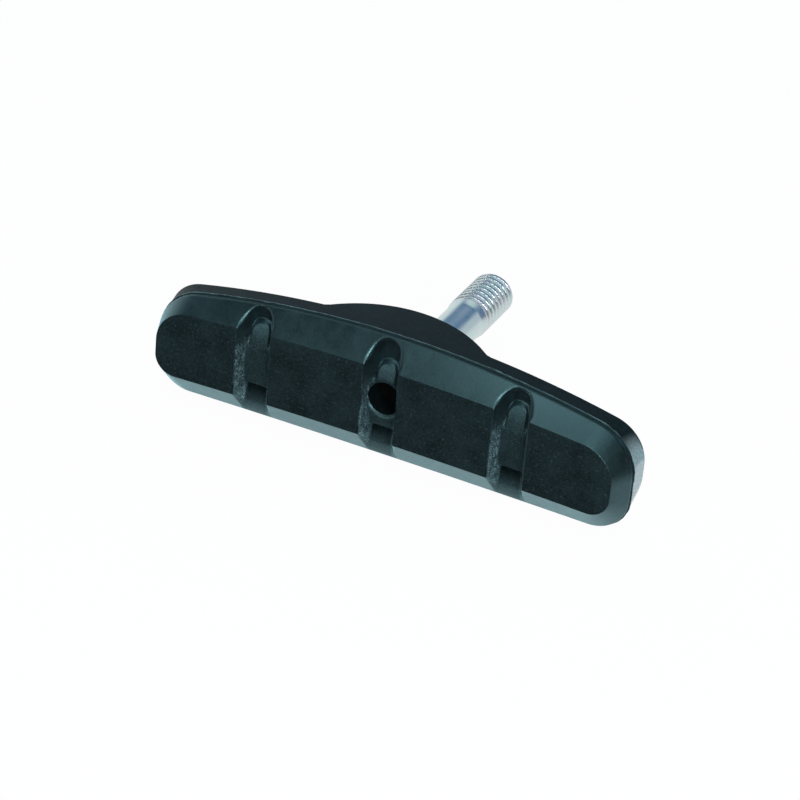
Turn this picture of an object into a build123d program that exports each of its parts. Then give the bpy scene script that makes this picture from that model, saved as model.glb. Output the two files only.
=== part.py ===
from build123d import *
import os

# Rim brake pad for a bicycle: a rubber block moulded round the head of a steel stud.
# Sizes are in mm. +X runs along the pad, +Y along the stud away from the braking face, +Z towards the
# arched long edge. The origin lies on the stud's axis where the stud leaves the top of the boss.

# Levels along the stud's axis, from the top of the boss forward to the braking face
boss_height = 4.35
back_layer = 2.55
front_wall = 0.35
bevel_depth = 2.8
back_y = -boss_height
step_y = back_y - back_layer
bevel_y = step_y - front_wall
face_y = bevel_y - bevel_depth

# Outline of the braking face, and the softened edge round it
face_half_length = 32.6
face_top_mid = 5.36
face_top_end = 3.55
face_low_mid = -5.23
face_low_end = -5.85
face_upper_round = 4.9
face_lower_round = 2.8
face_edge_run = 0.14
face_edge_depth = 0.08

# Bevel all round the face: how far its foot stands out from the face, wide along the long edges
bevel_end_run = 1.38
bevel_top_mid_run = 3.43
bevel_top_end_run = 0.91
bevel_low_mid_run = 3.59
bevel_low_end_run = 3.29
bevel_upper_round_gain = 2.0
bevel_lower_round_gain = 2.2
foot_half_length = face_half_length + bevel_end_run
foot_top_mid = face_top_mid + bevel_top_mid_run
foot_top_end = face_top_end + bevel_top_end_run
foot_low_mid = face_low_mid - bevel_low_mid_run
foot_low_end = face_low_end - bevel_low_end_run
foot_upper_round = face_upper_round + bevel_upper_round_gain
foot_lower_round = face_lower_round + bevel_lower_round_gain
foot_offset = 0.31
foot_edge_round = 0.3

# Parting step between the mould halves: the back layer stands out past the front above and at one end,
# and is set in below
step_top = 0.3
step_low_setback = 0.06
step_offset = 0.13
step_top_mid = foot_top_mid + step_top
step_top_end = foot_top_end + step_top
step_low_mid = foot_low_mid + step_low_setback
step_low_end = foot_low_end + step_low_setback

# Rear outline of the back layer, whose walls lean a little along the pad and towards the arched edge
back_end_step = 0.17
back_top_step = 0.36
back_low_setback = 0.12
back_upper_round_loss = 1.3
back_lower_round_gain = 2.4
back_half_length = foot_half_length + back_end_step
back_top_mid = foot_top_mid + back_top_step
back_top_end = foot_top_end + back_top_step
back_low_mid = foot_low_mid + back_low_setback
back_low_end = foot_low_end + back_low_setback
back_upper_round = foot_upper_round - back_upper_round_loss
back_lower_round = foot_lower_round + back_lower_round_gain
back_offset = 0.58
back_edge_chamfer = 0.15

# Boss on the back, a round arch across the whole width
boss_radius = 17.3
boss_foot_round = 1.2

# Three water grooves across the face, with drafted walls and a crowned floor
groove_pitch = 18.35
groove_half_width = 2.44
groove_draft = 0.39
crown_depth = 1.9
groove_end_depth = 2.55
crown_half_length = 3.0
shoulder_end = 5.1
shoulder_round = 1.8
floor_round = 0.8
land_edge_round = 0.30

# Round hole in the middle groove, down to the head of the stud
hole_radius = 2.29

# Stud: round head and thinner neck inside the boss, plain shank and M6 threaded end outside
stud_radius = 3.0
shank_radius = 2.78
neck_radius = 2.6
head_radius = 5.6
head_thickness = 2.0
head_cover = 2.8
head_back_y = -head_cover
head_front_y = head_back_y - head_thickness
head_edge_chamfer = 0.4
shank_end_y = 15.7
runout_length = 0.5
tip_y = 25.5
tip_chamfer = 0.5

# Length of the cutting tools past the surfaces they cut, the gap within which two places are the same, and
# how far a face must turn towards the rear to count as a rear face
overrun = 2.0
cut_half_width = back_top_mid + overrun
cut_half_length = back_half_length + back_offset + overrun
near = 0.001
rear_turn = 0.5


def pad_outline(half_length, top_mid, top_end, low_mid, low_end, upper_round, lower_round):
    """Arched long edge above, slightly hollow long edge below, rounded corners."""
    with BuildSketch(Plane.XZ) as outline:
        with BuildLine():
            ThreePointArc((-half_length, top_end), (0, top_mid), (half_length, top_end))
            Line((half_length, top_end), (half_length, low_end))
            ThreePointArc((half_length, low_end), (0, low_mid), (-half_length, low_end))
            Line((-half_length, low_end), (-half_length, top_end))
        make_face()
        fillet(outline.vertices().group_by(Axis.Y)[-1], upper_round)
        fillet(outline.vertices().group_by(Axis.Y)[0], lower_round)
    return outline.sketch


def groove_cutter():
    """Drafted channel whose floor rises to a crown in the middle of the pad."""
    outside = face_y - overrun
    crown = face_y + crown_depth
    deep = face_y + groove_end_depth
    below = deep + overrun
    wide = groove_half_width + overrun * groove_draft
    narrow = groove_half_width - (below - face_y) * groove_draft
    with BuildSketch(Plane.YZ) as side:
        with BuildLine():
            Polyline(
                (outside, -cut_half_width), (deep, -cut_half_width), (deep, -shoulder_end),
                (crown, -crown_half_length), (crown, crown_half_length),
                (deep, shoulder_end), (deep, cut_half_width), (outside, cut_half_width), close=True,
            )
        make_face()
        fillet([v for v in side.vertices() if abs(v.Y) < cut_half_width - near], shoulder_round)
    with BuildSketch(Plane.XY) as section:
        with BuildLine():
            Polyline((-wide, outside), (wide, outside), (narrow, below), (-narrow, below), close=True)
        make_face()
    cutter = extrude(side.sketch, amount=wide, both=True)
    cutter &= extrude(section.sketch, amount=cut_half_width, both=True)
    inside = [e for e in cutter.edges() if abs(e.center().Z) < cut_half_width - near]
    floor_edges = [e for e in inside if e.center().Y > crown - near]
    return fillet([e for e in floor_edges if e.bounding_box().size.X < narrow], floor_round)


def edges_at(shape, level):
    """Edges lying in one plane across the stud."""
    return shape.edges().filter_by_position(Axis.Y, level - near, level + near)


def edges_between(shape, first, second):
    """Edges whose middle lies on both of the given groups of faces or edges."""
    middles = [(e, Vertex(*e.position_at(0.5))) for e in shape.edges()]
    return [e for e, m in middles if first.distance_to(m) < near and second.distance_to(m) < near]


def rear_edges(shape):
    """Edges between the side walls and the rear of the back layer and boss."""
    sides = [f for f in shape.faces() if abs(f.normal_at().Y) < rear_turn]
    rears = [f for f in shape.faces() if f.normal_at().Y > rear_turn]
    side_edges = [e for f in sides for e in f.edges()]
    return [e for f in rears for e in f.edges() if any(e.is_same(other) for other in side_edges)]


def bevelled_front():
    """Braking face, ruled bevel and the short wall behind it."""
    face_outline = pad_outline(
        face_half_length, face_top_mid, face_top_end, face_low_mid, face_low_end,
        face_upper_round, face_lower_round,
    )
    lands = (Pos(0, face_y, 0) * offset(face_outline, amount=-face_edge_run)).face()
    border = (Pos(0, face_y + face_edge_depth, 0) * face_outline).face()
    foot = (Pos(0, bevel_y, 0) * foot_outline).face()
    wall = extrude(Pos(0, step_y, 0) * foot_outline, amount=front_wall)
    front = loft([lands, border, foot], ruled=True) + wall
    return fillet(edges_at(front, bevel_y), foot_edge_round)


def arched_back():
    """Back layer with leaning walls and the boss standing on its rear outline."""
    step_outline = pad_outline(
        foot_half_length, step_top_mid, step_top_end, step_low_mid, step_low_end,
        foot_upper_round, foot_lower_round,
    )
    back_outline = pad_outline(
        back_half_length, back_top_mid, back_top_end, back_low_mid, back_low_end,
        back_upper_round, back_lower_round,
    )
    step = (Pos(foot_offset + step_offset, step_y, 0) * step_outline).face()
    rear = Pos(back_offset, back_y, 0) * back_outline
    sides = loft([step, rear.face()], ruled=True) + extrude(rear, amount=back_y)
    profile = Pos(0, back_y) * Rectangle(2 * cut_half_length, boss_radius, align=(Align.CENTER, Align.MAX))
    profile += Pos(back_offset, -boss_radius) * Circle(boss_radius)
    boss_feet = [v for v in profile.vertices() if abs(v.Y - back_y) < near and abs(v.X) < boss_radius]
    profile = fillet(boss_feet, boss_foot_round)
    back = sides & extrude(profile, amount=cut_half_width, both=True)
    return chamfer(rear_edges(back), back_edge_chamfer)


def grooved(moulding):
    """Three grooves across the face, with soft edges to the lands between them."""
    cutter = groove_cutter()
    cutters = [Pos(place, 0, 0) * cutter for place in (-groove_pitch, 0, groove_pitch)]
    skin = Compound(children=list(moulding.faces()))
    channels = Compound(children=[f for c in cutters for f in c.faces()])
    for c in cutters:
        moulding -= c
    return fillet(edges_between(moulding, channels, skin), land_edge_round)


def with_hole(moulding):
    """Round hole from the middle groove down to the stud's head."""
    hole_length = head_front_y - face_y + overrun
    return moulding - Pos(0, head_front_y, 0) * extrude(Plane.XZ * Circle(hole_radius), amount=hole_length)


def turned_stud():
    """Stud turned about its axis, with the thread's major diameter as a plain cylinder."""
    with BuildSketch(Plane.XY) as half:
        with BuildLine():
            Polyline(
                (0, head_front_y), (head_radius, head_front_y), (head_radius, head_back_y),
                (neck_radius, head_back_y), (neck_radius, 0), (shank_radius, 0), (shank_radius, shank_end_y),
                (stud_radius, shank_end_y + runout_length), (stud_radius, tip_y - tip_chamfer),
                (stud_radius - tip_chamfer, tip_y), (0, tip_y), close=True,
            )
        make_face()
        chamfer([v for v in half.vertices() if abs(v.X - head_radius) < near], head_edge_chamfer)
    return revolve(half.sketch, Axis.Y)


foot_outline = Pos(foot_offset, 0, 0) * pad_outline(
    foot_half_length, foot_top_mid, foot_top_end, foot_low_mid, foot_low_end,
    foot_upper_round, foot_lower_round,
)
mounting_stud = turned_stud()
brake_block = with_hole(grooved(bevelled_front() + arched_back())) - mounting_stud

os.makedirs("parts", exist_ok=True)
for name, solid in (("brake_block", brake_block), ("mounting_stud", mounting_stud)):
    solid.label = name
    export_step(solid, "parts/" + name + ".step")
    print(name, "solids", len(solid.solids()), "volume", round(solid.volume, 1))
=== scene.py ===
import bpy
import bmesh
import math
from mathutils import Vector, Matrix, noise


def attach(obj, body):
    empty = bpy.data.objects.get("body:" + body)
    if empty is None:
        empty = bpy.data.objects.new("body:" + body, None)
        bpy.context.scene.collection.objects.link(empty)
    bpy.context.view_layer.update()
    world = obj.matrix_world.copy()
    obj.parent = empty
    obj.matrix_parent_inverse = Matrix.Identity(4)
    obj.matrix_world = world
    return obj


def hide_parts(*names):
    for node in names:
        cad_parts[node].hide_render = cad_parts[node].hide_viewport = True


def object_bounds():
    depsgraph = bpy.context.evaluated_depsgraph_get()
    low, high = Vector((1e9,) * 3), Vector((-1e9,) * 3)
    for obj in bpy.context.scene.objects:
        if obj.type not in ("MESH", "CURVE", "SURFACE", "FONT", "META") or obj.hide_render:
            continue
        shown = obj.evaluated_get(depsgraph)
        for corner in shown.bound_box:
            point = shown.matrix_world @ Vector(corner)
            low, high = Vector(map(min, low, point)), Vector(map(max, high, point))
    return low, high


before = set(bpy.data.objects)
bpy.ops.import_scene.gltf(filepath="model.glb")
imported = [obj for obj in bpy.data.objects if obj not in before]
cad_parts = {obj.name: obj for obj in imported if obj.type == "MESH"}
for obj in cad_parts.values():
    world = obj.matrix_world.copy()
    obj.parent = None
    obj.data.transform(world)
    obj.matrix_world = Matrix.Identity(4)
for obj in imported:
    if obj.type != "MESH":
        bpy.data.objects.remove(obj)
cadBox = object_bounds()                               # the solids' own box
mm = 0.001


def colour(rgb):
    return (*rgb, 1.0)


class Wire:                                        # a shader socket that can stand in a sum
    def __init__(self, tree, socket=None):
        self.tree = tree
        self.socket = socket

    def node(self, kind, settings={}, sockets={}, out=0):
        made = self.tree.nodes.new("ShaderNode" + kind)
        for key, value in settings.items():
            if key == "stops":
                ramp = made.color_ramp
                while len(ramp.elements) < len(value):
                    ramp.elements.new(1.0)
                for element, (place, shade) in zip(ramp.elements, value):
                    element.position = place
                    element.color = colour(shade)
            else:
                setattr(made, key, value)
        for key, value in sockets.items():
            if isinstance(value, Wire):
                self.tree.links.new(value.socket, made.inputs[key])
            else:
                made.inputs[key].default_value = value
        return Wire(self.tree, made.outputs[out] if made.outputs else None)

    def maths(self, operation, *values):
        return self.node("Math", {"operation": operation}, dict(enumerate(values)))

    def __add__(self, other):
        return self.maths("ADD", self, other)

    def __sub__(self, other):
        return self.maths("SUBTRACT", self, other)

    def __rsub__(self, other):
        return self.maths("SUBTRACT", other, self)

    def __mul__(self, other):
        return self.maths("MULTIPLY", self, other)

    __radd__ = __add__
    __rmul__ = __mul__

    def clamped(self):
        return self.maths("MINIMUM", self.maths("MAXIMUM", self, 0.0), 1.0)

    def ramp(self, low, high):                     # 0 below low, 1 above high, soft between
        return self.node("MapRange", {"interpolation_type": "SMOOTHSTEP"},
                         {"Value": self, "From Min": low, "From Max": high})

    def mix(self, first, second):                  # this value picks between two colours
        return self.node("Mix", {"data_type": "RGBA"}, {"Factor": self, 6: first, 7: second}, 2)

    def part(self, axis):                          # one of the three parts of a vector
        return self.node("SeparateXYZ", sockets={0: self}, out=axis)

    def noiseAt(self, scale, detail, roughness=0.5):
        return self.node("TexNoise", sockets={
            "Vector": self, "Scale": scale, "Detail": detail, "Roughness": roughness})


def newMaterial(name):
    material = bpy.data.materials.new(name)
    material.use_nodes = True
    material.node_tree.nodes.clear()
    return material, Wire(material.node_tree)


def placeInMm(w):                                  # where a point lies on its object
    place = w.node("TexCoord", out="Object")
    return w.node("VectorMath", {"operation": "SCALE"}, {0: place, "Scale": 1 / mm})


def addObject(name, data):
    made = bpy.data.objects.new(name, data)
    bpy.context.scene.collection.objects.link(made)
    return made


# camera: found from the pad's own edges in the photograph
cameraLook = {
    "place": (0.145071, -0.336110, 0.216725),
    "azimuth": 23.4917, "elevation": 31.2031, "roll": 5.3894,
    "lens": 147.10, "sensor": 36.0, "clip": (0.01, 50.0),
    "shift": (-0.00224, 0.00506),
}


def addCamera(look):
    az, el, roll = [math.radians(look[key]) for key in ("azimuth", "elevation", "roll")]
    back = Vector((math.sin(az) * math.cos(el), -math.cos(az) * math.cos(el), math.sin(el)))
    right = Vector((math.cos(az), math.sin(az), 0.0))
    up = back.cross(right)
    turn = Matrix((right, up, back)).transposed() @ Matrix.Rotation(roll, 3, "Z")
    data = bpy.data.cameras.new("photoCamera")
    data.lens = look["lens"]
    data.sensor_width = look["sensor"]
    data.shift_x, data.shift_y = look["shift"]
    data.clip_start, data.clip_end = look["clip"]
    camera = addObject("photoCamera", data)
    camera.matrix_world = Matrix.Translation(look["place"]) @ turn.to_4x4()
    bpy.context.scene.camera = camera
    print("camera", [round(c, 4) for c in camera.location])


# studio: white floor, white sweep behind with a blue window in it, bright ceiling, four softboxes, dark cards
studioLook = {
    "floorSize": 8.0, "floorColour": (0.90, 0.91, 0.92), "floorWhite": 0.96, "floorGlow": (1.0, 1.0, 1.0),
    "roomBehind": [                                # from straight down to straight up
        (0.00, (0.80, 0.84, 0.87)), (0.50, (0.12, 0.17, 0.22)), (0.56, (0.055, 0.15, 0.32)),
        (0.84, (0.055, 0.16, 0.36)), (0.90, (0.50, 0.60, 0.58)), (1.00, (0.90, 0.98, 0.94)),
    ],
    "roomFront": [
        (0.00, (0.80, 0.84, 0.87)), (0.50, (0.025, 0.045, 0.06)), (0.86, (0.025, 0.045, 0.06)),
        (0.92, (0.45, 0.55, 0.58)), (0.97, (1.40, 1.50, 1.55)),
    ],
    "roomTurn": (-0.2, 0.3),                       # where the front of the room gives way to what is behind
    "roomDark": (0.025, 0.045, 0.06), "overheadSide": (-0.50, -0.05),
    "sweep": (0.94, 1.0, 1.0), "sweepSide": (0.34, 0.60), "sweepTurn": 0.35,
    "windowLow": (0.24, 0.36), "windowTop": (0.66, 0.78),
    "windowLeft": (-0.62, -0.46), "windowRight": (0.40, 0.55),
    "lamps": {
        "keySoftbox": {"toward": (0.14, -0.68, 0.72), "away": 0.62, "size": (0.36, 0.32), "radiance": 3.3},
        "edgeSoftbox": {"toward": (0.60, -0.70, 0.38), "away": 0.70, "size": (0.18, 0.18), "radiance": 27.0},
        "lowSoftbox": {"toward": (-0.36, -0.92, 0.17), "away": 0.75, "size": (0.36, 0.22), "radiance": 4.2},
        "sideSoftbox": {"toward": (-0.79, -0.60, 0.12), "away": 0.75, "size": (0.34, 0.24), "radiance": 1.0},
    },
    "cards": {                                     # corners in mm, heights from the floor
        "frontCard": [(-200, -10.4, 0.3), (200, -10.4, 0.3), (200, -260, 0.3), (-200, -260, 0.3)],
        "rightCard": [(60, -24, 0.3), (60, 40, 0.3), (60, 40, 40), (60, -24, 40)],
    },
    "cardColour": (0.04, 0.05, 0.055),
}


def addSheet(name, corners, material):
    mesh = bpy.data.meshes.new(name)
    mesh.from_pydata(corners, [], [(0, 1, 2, 3)])
    mesh.materials.append(material)
    return addObject(name, mesh)


def addFloor(look, level):
    material, w = newMaterial("whiteFloor")
    rays = ("Camera", "Glossy", "Transmission")
    camera, glossy, clear = [w.node("LightPath", out="Is " + ray + " Ray") for ray in rays]
    seen = (camera + glossy + clear).clamped() * look["floorWhite"]
    paper = w.node("BsdfDiffuse", sockets={"Color": colour(look["floorColour"])})
    glow = w.node("Emission", sockets={"Color": colour(look["floorGlow"])})
    both = w.node("MixShader", sockets={0: seen, 1: paper, 2: glow})
    w.node("OutputMaterial", sockets={"Surface": both})
    half = look["floorSize"] / 2
    corners = [(-half, -half, level), (half, -half, level), (half, half, level), (-half, half, level)]
    floor = addSheet("floor", corners, material)
    print("floor at", round(level / mm, 2), "mm")


def addCards(look, level):                         # dark cards that only reflections see
    material, w = newMaterial("darkCard")
    paper = w.node("BsdfDiffuse", sockets={"Color": colour(look["cardColour"])})
    w.node("OutputMaterial", sockets={"Surface": paper})
    for name, corners in look["cards"].items():
        card = addSheet(name, [(x * mm, y * mm, level + z * mm) for x, y, z in corners], material)
        card.visible_camera = card.visible_diffuse = card.visible_shadow = False
        card.visible_transmission = card.visible_volume_scatter = False
    print("cards", len(look["cards"]))


def addRoom(look):                                 # what the rubber and the zinc reflect
    world = bpy.data.worlds.new("studioRoom")
    bpy.context.scene.world = world
    world.use_nodes = True
    world.node_tree.nodes.clear()
    w = Wire(world.node_tree)
    toward = w.node("TexCoord", out="Generated")
    beside, behind, height = [toward.part(axis) for axis in "XYZ"]
    climb = height * 0.5 + 0.5                     # 0 straight down, 1 straight up
    front, rear = [w.node("ValToRGB", {"stops": look[key]}, {"Fac": climb}) for key in ("roomFront", "roomBehind")]
    front = beside.ramp(*look["overheadSide"]).mix(colour(look["roomDark"]), front)
    room = behind.ramp(*look["roomTurn"]).mix(front, rear)
    window = height.ramp(*look["windowLow"]) * (1 - height.ramp(*look["windowTop"]))
    window = window * beside.ramp(*look["windowLeft"]) * (1 - beside.ramp(*look["windowRight"]))
    sweep = (1 - window) * (behind - beside * look["sweepTurn"]).ramp(*look["sweepSide"])
    seen = sweep.mix(room, colour(look["sweep"]))
    w.node("OutputWorld", sockets={"Surface": w.node("Background", sockets={"Color": seen})})
    print("room", len(world.node_tree.nodes), "nodes")


def addLamps(look):
    for name, lamp in look["lamps"].items():
        toward = Vector(lamp["toward"]).normalized()
        width, depth = lamp["size"]
        data = bpy.data.lights.new(name, "AREA")
        data.shape = "RECTANGLE"
        data.size, data.size_y = width, depth
        data.energy = lamp["radiance"] * math.pi * width * depth
        light = addObject(name, data)
        light.location = toward * lamp["away"]
        light.rotation_euler = toward.to_track_quat("Z", "Y").to_euler()
        light.visible_camera = False
        print("lamp", name, round(data.energy, 2), "W")


# rubber block: the moulding, with satin bevels, ground lands, soft-edged grooves, a right end painted pale (partly
# dust, partly painted reflection of the bright floor) and mould flash
blockLook = {
    "finishes": {
        "skin": {"colour": (0.0045, 0.0075, 0.0085), "rough": 0.34, "ior": 1.80, "grain": 0.34, "bloom": 0.48,
                 "dustAndLight": 0.0, "fleck": 0.3, "gloss": 1.0, "film": (0.86, 0.985, 1.0)},
        "land": {"colour": (0.0070, 0.0114, 0.0128), "rough": 0.78, "ior": 1.24, "grain": 0.55, "bloom": 0.0,
                 "dustAndLight": 0.0, "fleck": 0.8, "gloss": 1.0, "film": (0.90, 0.985, 1.0)},
        "groove": {"colour": (0.005, 0.008, 0.009), "rough": 0.36, "ior": 1.62, "grain": 0.8, "bloom": 0.1,
                   "dustAndLight": 0.9, "fleck": 0.4, "gloss": 1.0, "film": (0.86, 0.985, 1.0)},
        "wall": {"colour": (0.0032, 0.0078, 0.0096), "rough": 0.55, "ior": 1.24, "grain": 0.35, "bloom": 0.06,
                 "dustAndLight": 0.45, "fleck": 0.2, "gloss": 2.0, "film": (0.93, 0.99, 1.0)},
        # the hole's wall is painted darker than the other rubber: painted shade in the recess
        "hole": {"colour": (0.003, 0.0045, 0.005), "rough": 0.55, "ior": 1.35, "grain": 0.4, "bloom": 0.0,
                 "dustAndLight": 0.0, "fleck": 0.2, "gloss": 1.0, "film": (0.90, 0.985, 1.0)},
    },
    "noises": {                                    # scale for each mm, detail, roughness
        "grain": (3.4, 4.0, 0.6), "cloud": (0.30, 3.0), "specks": (2.6, 2.0),
        "smudge": (0.9, 4.0, 0.65), "powder": (5.5, 2.0, 0.7), "patches": (0.8, 2.0),
    },
    "mottle": (0.5, 1.6), "mottleMix": (0.4, 0.6), "mottleRange": (0.32, 0.68),
    "fleckColour": (0.024, 0.033, 0.036), "fleckRange": (0.58, 0.74),
    "roughDrop": 0.19, "roughCloud": 0.14, "roughSmudge": 0.20, "roughGrain": 0.06, "grainHeight": 0.04,
    "bloomColour": (0.75, 0.94, 1.0), "bloomRough": 0.35, "tint": (0.50, 0.88, 0.95), "filmRough": 0.15,
    # pale colour, partly dust and partly painted light: a painted reflection on the right end, painted side light on
    # groove walls
    "dustAndLightColour": {"groove": (0.24, 0.33, 0.36), "wall": (0.62, 0.82, 0.86)},
    "rightFacing": (0.60, 0.96), "dustAndLightRough": 0.25, "endDustAndLight": (0.75, 0.25), "endRange": (0.42, 0.62),
    "grooveDustAndLight": {                                # heights across the pad in mm
        "pocket": (0.3, 3.2), "crownLow": (-4.0, -3.9), "crownTop": (2.5, 5.5), "ledge": (-7.5, -4.9),
        "floor": 0.10, "patch": (0.35, 0.65), "patchRange": (0.35, 0.65), "powderRange": (0.42, 0.68),
    },
    "stepShade": {                                 # painted shadow: a dark strip under the low step of a groove
        "low": (-6.4, -4.4), "top": (-4.1, -3.8), "facing": (0.3, 0.7),
        "colour": (0.001, 0.0015, 0.0015), "polish": 0.35,
    },
    # outlines in mm: half length, shift along the pad, top middle, top end, low middle, low end, upper and lower round
    "lands": (32.46, 0.00, 5.22, 3.41, -5.09, -5.71, 4.76, 2.66),
    "border": (32.60, 0.00, 5.36, 3.55, -5.23, -5.85, 4.90, 2.80),
    "foot": (33.98, 0.31, 8.79, 4.46, -8.82, -9.14, 6.90, 5.00),
    "step": (33.98, 0.44, 9.09, 4.76, -8.76, -9.08, 6.90, 5.00),
    "rear": (34.15, 0.58, 9.15, 4.82, -8.70, -9.02, 5.60, 7.40),
    "rearFlat": (34.00, 0.58, 9.00, 4.67, -8.55, -8.87, 5.45, 7.25),
    "landY": -10.05, "borderY": -9.97, "footY": -7.25, "stepY": -6.9, "rearY": -4.35, "rearChamfer": 0.15,
    "archRadius": 17.3, "archBlend": 0.35,
    "columns": [                                   # places along the pad, and steps up to each
        (-25.0, 0), (-21.35, 6), (-15.35, 75), (-3.0, 18), (3.0, 75), (15.35, 18), (21.35, 75), (25.0, 6),
    ],
    "cornerSteps": 20, "joinSteps": 5, "rows": 70, "bevelSteps": 26, "bevelEnd": 0.967,
    "footPart": 0.99, "footFront": 0.02, "footBack": 0.15, "wallParts": (0.0, 0.5, 0.9),
    "groovePitch": 18.35, "grooveHalf": 2.46, "grooveDraft": 0.39, "grooveRound": (6.95, 5.75),
    "crownDepth": 1.70, "crownFall": 0.040, "crownStart": 0.5, "crownRound": 3.75,
    "upperDepth": 3.15, "upperStart": 1.5, "upperShoulder": (1.15, 1.70),
    "lowerDepth": 2.95, "lowerRise": 0.08, "lowerShoulder": (3.92, 4.10), "floorBlend": 0.8,
    "landEdge": 0.3, "upperEdge": 1.3, "lowerEdge": 1.2, "edgeGrowth": (0.05, 0.8),
    "holeRadius": 2.29, "holeRim": 0.5, "holeRimDepth": 0.3, "holeDraft": 0.10, "holeReach": (1.6, 3.4),
    "socket": [(0, -12), (2.29, -12), (2.29, -4.8), (5.6, -4.8), (5.6, -2.8), (2.6, -2.8), (2.6, 1.0), (0, 1.0)],
    "socketSides": 96, "weld": 0.001,
    "holeMargin": 0.01, "ledgeTop": -4.0, "ledgeMargin": 0.25, "deepest": 3.6, "depthMargin": 0.3, "rearTurn": -0.5,
    "flashSpacing": 0.22, "flashLow": 0.03, "flashHigh": 0.13, "flashMean": 0.45,
    "flashScale": 900.0, "flashNoise": (1.0, 2.0, 4),
    "nubScale": 420.0, "nubShift": (5.0, 3.0, 1.0), "nubLimit": 0.42, "nubHigh": 0.5,
    "flashSection": [                              # share of the bead's height, mm further out, mm back
        (0.0, -0.16, 0.04), (0.0, -0.09, -0.02), (0.4, 0.0, -0.05), (1.0, 0.0, 0.03), (0.7, 0.0, 0.15),
        (0.0, -0.02, 0.30),
    ],
    "sharpAngle": 40,
}


def grooveDustAndLight(place, facing, look):               # speckled pale, partly dust and partly painted light on walls that face the right end; only away from the dark upper pockets, and left off the floor just under the low step so it stays dark as painted shade
    where = look["grooveDustAndLight"]
    height = place.part("Z")
    powder = place.noiseAt(*look["noises"]["powder"]).ramp(*where["powderRange"])
    patches = place.noiseAt(*look["noises"]["patches"]).ramp(*where["patchRange"])
    least, more = where["patch"]
    crown = height.ramp(*where["crownLow"]) * (1 - height.ramp(*where["crownTop"]))
    floor = (crown + (1 - height.ramp(*where["ledge"]))) * where["floor"]
    walls = facing.ramp(*look["rightFacing"]) * (1 - height.ramp(*where["pocket"]))
    return (walls * (least + more * patches) + floor) * powder


def stepShade(place, facing, look):
    where = look["stepShade"]
    height = place.part("Z")
    strip = height.ramp(*where["low"]) * (1 - height.ramp(*where["top"]))
    return strip * (1 - facing.ramp(*where["facing"]))


def rubberMaterial(zone, look):
    finish = look["finishes"][zone]
    noises = look["noises"]
    material, w = newMaterial(zone + "Rubber")
    place = placeInMm(w)
    facing = w.node("TexCoord", out="Normal").part("X")
    grain, cloud, smudge = [place.noiseAt(*noises[key]) for key in ("grain", "cloud", "smudge")]
    flecks = place.noiseAt(*noises["specks"]).ramp(*look["fleckRange"]) * finish["fleck"]
    dark, light = [colour([share * c for c in finish["colour"]]) for share in look["mottle"]]
    cloudShare, grainShare = look["mottleMix"]
    base = (cloud * cloudShare + grain * grainShare).ramp(*look["mottleRange"]).mix(dark, light)
    base = flecks.mix(base, colour(look["fleckColour"]))
    rough = finish["rough"] - look["roughDrop"]
    rough = rough + cloud * look["roughCloud"] + smudge * look["roughSmudge"] + grain * look["roughGrain"]
    film = 1.0
    if zone == "groove":                           # painted shadow in a strip under the low step; pale colour, partly dust and partly painted light, on walls that face the right end
        shade = stepShade(place, facing, look)
        base = shade.mix(base, colour(look["stepShade"]["colour"]))
        rough = rough * (1 - look["stepShade"]["polish"] * shade)
        dustAndLight = grooveDustAndLight(place, facing, look)
    if zone == "wall":                             # the right end has a shining coat, and a pale colour that is partly dust and partly painted reflection of the bright floor behind
        film = facing.ramp(*look["rightFacing"])
        least, more = look["endDustAndLight"]
        dustAndLight = film * (least + grain.ramp(*look["endRange"]) * more)
    if finish["dustAndLight"]:
        dustAndLight = dustAndLight * finish["dustAndLight"]
        base = dustAndLight.mix(base, colour(look["dustAndLightColour"][zone]))
        rough = rough + dustAndLight * look["dustAndLightRough"]
    bump = w.node("Bump", sockets={"Strength": finish["grain"], "Distance": look["grainHeight"] * mm, "Height": grain})
    skin = w.node("BsdfPrincipled", sockets={
        "Base Color": base, "Roughness": rough, "Normal": bump, "IOR": finish["ior"],
        "Specular Tint": colour(look["tint"]),
        "Coat Weight": film, "Coat IOR": finish["gloss"], "Coat Tint": colour(finish["film"]),
        "Coat Roughness": look["filmRough"],
        "Sheen Weight": finish["bloom"], "Sheen Roughness": look["bloomRough"],
        "Sheen Tint": colour(look["bloomColour"]),
    })
    w.node("OutputMaterial", sockets={"Surface": skin})
    return material


def softMax(a, b, blend):                          # the larger of two, with a rounded meeting
    near = max(blend - abs(a - b), 0.0) / blend
    return max(a, b) + near * near * blend / 4


def softMin(a, b, blend):
    return -softMax(-a, -b, blend)


def smooth(value, low, high):                      # 0 below low, 1 above high, soft between
    part = max(0.0, min(1.0, (value - low) / (high - low)))
    return part * part * (3 - 2 * part)


def between(first, second, part):                  # points part of the way from one row to another
    return [(a + (c - a) * part, b + (d - b) * part) for (a, b), (c, d) in zip(first, second)]


def joinRings(work, rings):                        # faces between rings of as many points each
    made = []
    for first, second in zip(rings, rings[1:]):
        for i in range(len(first)):
            made.append(work.faces.new((first[i - 1], first[i], second[i], second[i - 1])))
    return made


def finishMesh(work, name):
    bmesh.ops.recalc_face_normals(work, faces=work.faces)
    mesh = bpy.data.meshes.new(name)
    work.to_mesh(mesh)
    work.free()
    return mesh


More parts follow.
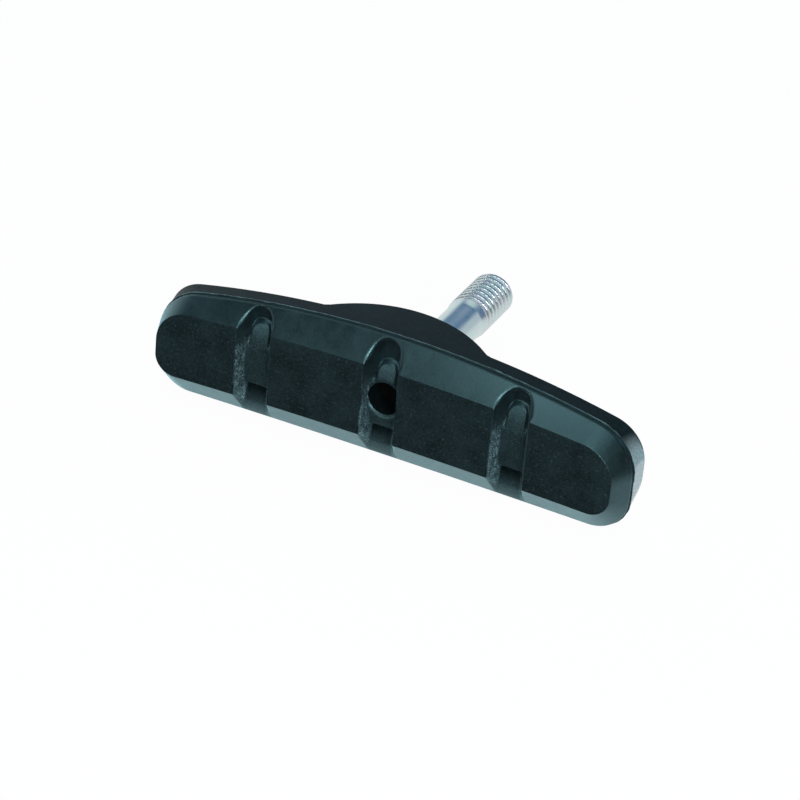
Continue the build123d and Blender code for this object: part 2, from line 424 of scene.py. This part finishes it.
def outlineRails(outline, look):                   # points along the top and the bottom of an outline
    half, shift, topMid, topEnd, lowMid, lowEnd, upper, lower = outline
    rails = []
    for mid, end, corner, side in ((topMid, topEnd, upper, 1), (lowMid, lowEnd, lower, -1)):
        rise = mid - end
        radius = (half * half + rise * rise) / (2 * rise)
        centre = half - corner
        level = mid - radius + math.sqrt((radius - side * corner) ** 2 - centre * centre)
        lean = side * math.asin(centre / (radius - side * corner))
        turns = [lean + (math.pi / 2 - lean) * i / look["cornerSteps"] for i in range(look["cornerSteps"] + 1)]
        right = [(centre + corner * math.sin(a), level + side * corner * math.cos(a)) for a in turns]
        left = [(shift - x, z) for x, z in reversed(right)]
        right = [(shift + x, z) for x, z in right]
        middle = []
        before = look["columns"][0][0]
        for place, count in look["columns"]:
            middle += [before + (place - before) * i / count for i in range(count)]
            before = place
        middle.append(before)
        join = [i / look["joinSteps"] for i in range(1, look["joinSteps"])]
        along = [left[-1][0] + (middle[0] - left[-1][0]) * i for i in join] + middle
        along += [middle[-1] + (right[0][0] - middle[-1]) * i for i in join]
        arc = [(x, mid - radius + math.sqrt(radius * radius - (x - shift) ** 2)) for x in along]
        rails.append(left + arc + right)
    return rails


def railLoop(rails, look):                         # once round the outline, along the top first
    top, low = rails
    steps = [i / look["rows"] for i in range(1, look["rows"])]
    rightEnd = [tuple(a + (b - a) * t for a, b in zip(top[-1], low[-1])) for t in steps]
    leftEnd = [tuple(a + (b - a) * t for a, b in zip(low[0], top[0])) for t in steps]
    return top + rightEnd + low[::-1] + leftEnd


def grooveMiddle(x, look):                         # of the groove nearest to x
    return look["groovePitch"] * max(-1, min(1, round(x / look["groovePitch"])))


def grooveDepth(x, z, look):                       # below the lands; less than nothing outside the grooves
    middle = grooveMiddle(x, look)
    across = abs(x - middle)
    top = look["grooveRound"][1 if middle else 0]  # the outer grooves end lower, under the arched edge
    steep = 0 if middle else 1 - smooth(abs(z), *look["holeReach"])  # the walls stand steeper beside the hole
    draft = look["grooveDraft"] + (look["holeDraft"] - look["grooveDraft"]) * steep
    wall = (look["grooveHalf"] - math.hypot(across, max(0.0, z - top))) / draft
    crown = look["crownDepth"] + look["crownFall"] * max(0.0, z - look["crownStart"]) ** 2
    crown = min(crown, look["upperDepth"])
    edge = math.hypot(across, max(0.0, z - look["crownRound"]))
    upper = smooth(edge, *look["upperShoulder"]) * smooth(z, look["upperStart"], look["crownRound"])
    lower = look["lowerDepth"] + look["lowerRise"] * (z - look["lowerShoulder"][1])
    floor = crown + (look["upperDepth"] - crown) * upper
    floor += (lower - floor) * smooth(-z, *look["lowerShoulder"])
    return softMin(wall, floor, look["floorBlend"])


def frontPoint(x, y, z, look):                     # a point of the bevelled front, let down into the grooves
    level = y - look["landY"]
    wide = look["upperEdge"] if z > 0 else look["lowerEdge"]
    blend = look["landEdge"] + (wide - look["landEdge"]) * smooth(level, *look["edgeGrowth"])
    depth = softMax(level, grooveDepth(x, z, look), blend)
    rim = max(0.0, min(1.0, 1 - (math.hypot(x, z) - look["holeRadius"]) / look["holeRim"]))
    return Vector((x, look["landY"] + depth + look["holeRimDepth"] * rim * rim, z)) * mm


def rearLevel(x, look):                            # flat back with the round arch of the boss
    rise = look["archRadius"] ** 2 - (x - look["rear"][1]) ** 2
    arch = math.sqrt(rise) - look["archRadius"] if rise > 0 else -look["archRadius"]
    return softMax(look["rearY"], arch, look["archBlend"])


def addGrid(work, rails, place, look):             # a cap of the block; returns its edge, once round
    top, low = rails
    rows = look["rows"]
    grid = []
    for a, b in zip(low, top):
        steps = [(a[0] + (b[0] - a[0]) * j / rows, a[1] + (b[1] - a[1]) * j / rows) for j in range(rows + 1)]
        grid.append([work.verts.new(place(x, z)) for x, z in steps])
    for first, second in zip(grid, grid[1:]):
        for j in range(rows):
            work.faces.new((first[j], second[j], second[j + 1], first[j + 1]))
    edge = [column[rows] for column in grid] + [grid[-1][j] for j in range(rows - 1, 0, -1)]
    return edge + [column[0] for column in grid[::-1]] + [grid[0][j] for j in range(1, rows)]


def blockSections(look):                           # points once round, from the softened border to the rear edge
    names = ("border", "foot", "step", "rear")
    border, foot, step, rear = [railLoop(outlineRails(look[name], look), look) for name in names]
    sections = []
    for part in [i / look["bevelSteps"] for i in range(look["bevelSteps"])] + [look["bevelEnd"]]:
        y = look["borderY"] + (look["footY"] - look["borderY"]) * part
        sections.append([frontPoint(x, y, z, look) for x, z in between(border, foot, part)])
    levels = [
        (look["footY"] + look["footFront"], between(border, foot, look["footPart"])),
        (look["footY"] + look["footBack"], foot), (look["stepY"], foot),
    ]
    for part in look["wallParts"]:
        levels.append((look["stepY"] + (look["rearY"] - look["stepY"]) * part, between(step, rear, part)))
    sections += [[Vector((x, y, z)) * mm for x, z in loop] for y, loop in levels]
    sections.append([Vector((x, rearLevel(x, look) - look["rearChamfer"], z)) * mm for x, z in rear])
    return sections


def blockMesh(look):
    work = bmesh.new()
    lands, rear = [outlineRails(look[name], look) for name in ("lands", "rearFlat")]
    loops = [addGrid(work, lands, lambda x, z: frontPoint(x, look["landY"], z, look), look)]
    loops += [[work.verts.new(point) for point in section] for section in blockSections(look)]
    loops.append(addGrid(work, rear, lambda x, z: Vector((x, rearLevel(x, look), z)) * mm, look))
    joinRings(work, loops)
    return finishMesh(work, "rubberBlock")


def socketMesh(look):                              # the hole and the seat of the stud, as one turned shape
    work = bmesh.new()
    points = [work.verts.new((r * mm, y * mm, 0.0)) for r, y in look["socket"]]
    lines = [work.edges.new(pair) for pair in zip(points, points[1:])]
    bmesh.ops.spin(work, geom=points + lines, cent=(0, 0, 0), axis=(0, 1, 0), angle=math.tau,
                   steps=look["socketSides"])
    bmesh.ops.remove_doubles(work, verts=work.verts, dist=look["weld"] * mm)
    return finishMesh(work, "studSocket")


def cutSocket(block, look):
    tool = addObject("studSocket", socketMesh(look))
    cut = block.modifiers.new("studSocket", "BOOLEAN")
    cut.object = tool
    cut.operation = "DIFFERENCE"
    cut.solver = "EXACT"
    whole = bpy.data.meshes.new_from_object(block.evaluated_get(bpy.context.evaluated_depsgraph_get()))
    block.modifiers.clear()
    block.data = whole
    bpy.data.objects.remove(tool)


def blockZone(polygon, look):                      # which of the finishes a face has
    x, y, z = polygon.center / mm
    if math.hypot(x, z) < look["holeRadius"] + look["holeMargin"] and y < look["rearY"]:
        return "hole"
    across = abs(x - grooveMiddle(x, look))
    ledge = z < look["ledgeTop"] and y < look["footY"] and across < look["grooveHalf"] - look["ledgeMargin"]
    if ledge or y - look["landY"] < min(look["deepest"], grooveDepth(x, z, look) + look["depthMargin"]):
        return "groove"
    if y < look["borderY"]:
        return "land"
    return "wall" if y > look["stepY"] and polygon.normal.y > look["rearTurn"] else "skin"


def partingLine(look):                             # even steps round the back layer's front edge
    loop = [Vector((x, look["stepY"], z)) for x, z in railLoop(outlineRails(look["step"], look), look)]
    steps = []
    gone = 0.0
    for here, there in zip(loop, loop[1:] + loop[:1]):
        gone += (there - here).length
        if gone > look["flashSpacing"]:
            steps.append(there * mm)
            gone = 0.0
    return steps


def addFlash(mesh, look):                          # thin ragged bead that the mould leaves on its parting line
    steps = partingLine(look)
    work = bmesh.new()
    work.from_mesh(mesh)
    back = Vector((0.0, 1.0, 0.0))
    rings = []
    for before, here, after in zip(steps[-1:] + steps[:-1], steps, steps[1:] + steps[:1]):
        along = (after - before).normalized()
        out = Vector((-along.z, 0.0, along.x))
        ragged = noise.fractal(here * look["flashScale"], *look["flashNoise"])
        nub = noise.noise(here * look["nubScale"] + Vector(look["nubShift"])) - look["nubLimit"]
        share = max(0.0, min(1.0, look["flashMean"] + ragged))
        high = look["flashLow"] + (look["flashHigh"] - look["flashLow"]) * share + look["nubHigh"] * max(0.0, nub)
        section = [(part * high + further, rear) for part, further, rear in look["flashSection"]]
        rings.append([work.verts.new(here + (out * u + back * v) * mm) for u, v in section])
    bmesh.ops.recalc_face_normals(work, faces=joinRings(work, rings + rings[:1]))
    work.to_mesh(mesh)
    work.free()
    print("flash", len(steps), "steps")


def addBlock(look):
    block = addObject("rubberBlock", blockMesh(look))
    cutSocket(block, look)
    mesh = block.data
    mesh.materials.clear()
    zones = list(look["finishes"])
    for zone in zones:
        mesh.materials.append(rubberMaterial(zone, look))
    for polygon in mesh.polygons:
        polygon.material_index = zones.index(blockZone(polygon, look))
    addFlash(mesh, look)                           # its faces have the first finish
    mesh.shade_smooth()
    mesh.set_sharp_from_angle(angle=math.radians(look["sharpAngle"]))
    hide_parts("brake_block")
    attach(block, "root")
    print("block", len(mesh.polygons), "faces")


# stud: turned steel with a black bonded head, bright zinc shank and rolled thread
studLook = {
    "profile": [                                   # along the axis, radius, in mm
        (-4.8, 5.2), (-4.4, 5.6), (-3.2, 5.6), (-2.8, 5.2), (-2.8, 2.6), (0.0, 2.6), (0.0, 2.78),
        (15.6, 2.78), (15.75, 2.79), (16.2, 2.88),
    ],
    "threadStart": 16.2, "tip": 25.5, "tipChamfer": 0.5, "major": 3.0, "pitch": 1.0,
    "flankEdge": 0.29, "flankWidth": 0.21, "flankDepth": 0.44, "rootHalf": 0.08, "rootDepth": 0.05,
    "runout": (16.5, 17.2), "flare": 0.12, "flareLength": 0.6,
    "groovePlace": 17.27, "grooveAngle": 33.4,
    "sides": 96, "rowsPerPitch": 28, "sharpAngle": 35,
    "zinc": (0.52, 0.67, 0.66), "zincWarm": (0.62, 0.64, 0.68), "zincMix": 0.5, "zincRange": (0.36, 0.64),
    "cloud": (0.5, 3.0), "fine": (4.5, 3.0), "bump": 0.05, "bumpHeight": 0.01,
    "rough": 0.25, "roughCloud": 0.12, "roughThread": 0.02, "roughStart": (16.2, 17.2),
    "primer": (0.0025, 0.003, 0.003), "primerThin": (0.006, 0.006, 0.005), "primerEnd": -0.05,
    "brushed": (1.2, 4.0), "primerRough": 0.7, "primerVary": 0.3, "primerIor": 1.15,
}


def threadRadius(y, angle, look):                  # how far the surface stands from the axis
    turn = (y - look["groovePlace"]) / look["pitch"] - (angle - math.radians(look["grooveAngle"])) / math.tau
    across = abs(turn - round(turn))               # 0 in the root, 0.5 on the crest
    flank = max(0.0, min(1.0, (look["flankEdge"] - across) / look["flankWidth"]))
    root = max(0.0, 1.0 - (across / look["rootHalf"]) ** 2)
    depth = (look["flankDepth"] * flank + look["rootDepth"] * root) * smooth(y, *look["runout"])
    flare = look["flare"] * max(0.0, 1 - (y - look["threadStart"]) / look["flareLength"])
    return min(look["major"] - flare - depth, look["major"] - (y - look["tip"] + look["tipChamfer"]))


def studMesh(look):
    work = bmesh.new()
    angles = [math.tau * i / look["sides"] for i in range(look["sides"])]
    rows = [[(y, radius)] * look["sides"] for y, radius in look["profile"]]
    count = round((look["tip"] - look["threadStart"]) / look["pitch"] * look["rowsPerPitch"])
    for step in range(1, count + 1):
        y = look["threadStart"] + (look["tip"] - look["threadStart"]) * step / count
        rows.append([(y, threadRadius(y, angle, look)) for angle in angles])
    rings = []
    for row in rows:
        points = [Vector((r * math.sin(a), y, r * math.cos(a))) * mm for a, (y, r) in zip(angles, row)]
        rings.append([work.verts.new(point) for point in points])
    joinRings(work, rings)
    work.faces.new(rings[0])
    work.faces.new(list(reversed(rings[-1])))
    mesh = finishMesh(work, "threadedStud")
    mesh.shade_smooth()
    mesh.set_sharp_from_angle(angle=math.radians(look["sharpAngle"]))
    return mesh


def zincMaterial(look):
    material, w = newMaterial("brightZinc")
    place = placeInMm(w)
    cloud, fine = [place.noiseAt(*look[key]) for key in ("cloud", "fine")]
    warm = (cloud * look["zincMix"] + fine * (1 - look["zincMix"])).ramp(*look["zincRange"])
    thread = place.part("Y").ramp(*look["roughStart"])
    bump = w.node("Bump", sockets={"Strength": look["bump"], "Distance": look["bumpHeight"] * mm, "Height": fine})
    shader = w.node("BsdfPrincipled", sockets={
        "Base Color": warm.mix(colour(look["zinc"]), colour(look["zincWarm"])), "Metallic": 1.0,
        "Roughness": look["rough"] + cloud * look["roughCloud"] + thread * look["roughThread"], "Normal": bump,
    })
    w.node("OutputMaterial", sockets={"Surface": shader})
    return material


def primerMaterial(look):
    material, w = newMaterial("bondingPrimer")
    brushed = placeInMm(w).noiseAt(*look["brushed"])
    shader = w.node("BsdfPrincipled", sockets={
        "Base Color": brushed.mix(colour(look["primer"]), colour(look["primerThin"])),
        "Roughness": look["primerRough"] + brushed * look["primerVary"], "IOR": look["primerIor"],
    })
    w.node("OutputMaterial", sockets={"Surface": shader})
    return material


def addStud(look):
    mesh = studMesh(look)
    mesh.materials.append(zincMaterial(look))
    mesh.materials.append(primerMaterial(look))
    for polygon in mesh.polygons:
        polygon.material_index = int(polygon.center.y < look["primerEnd"] * mm)
    stud = addObject("threadedStud", mesh)
    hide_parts("mounting_stud")
    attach(stud, "root")
    print("stud", len(mesh.polygons), "faces")


bpy.context.scene.view_settings.view_transform = "Standard"
addCamera(cameraLook)
addFloor(studioLook, cadBox[0].z)
addCards(studioLook, cadBox[0].z)
addRoom(studioLook)
addLamps(studioLook)
addBlock(blockLook)
addStud(studLook)
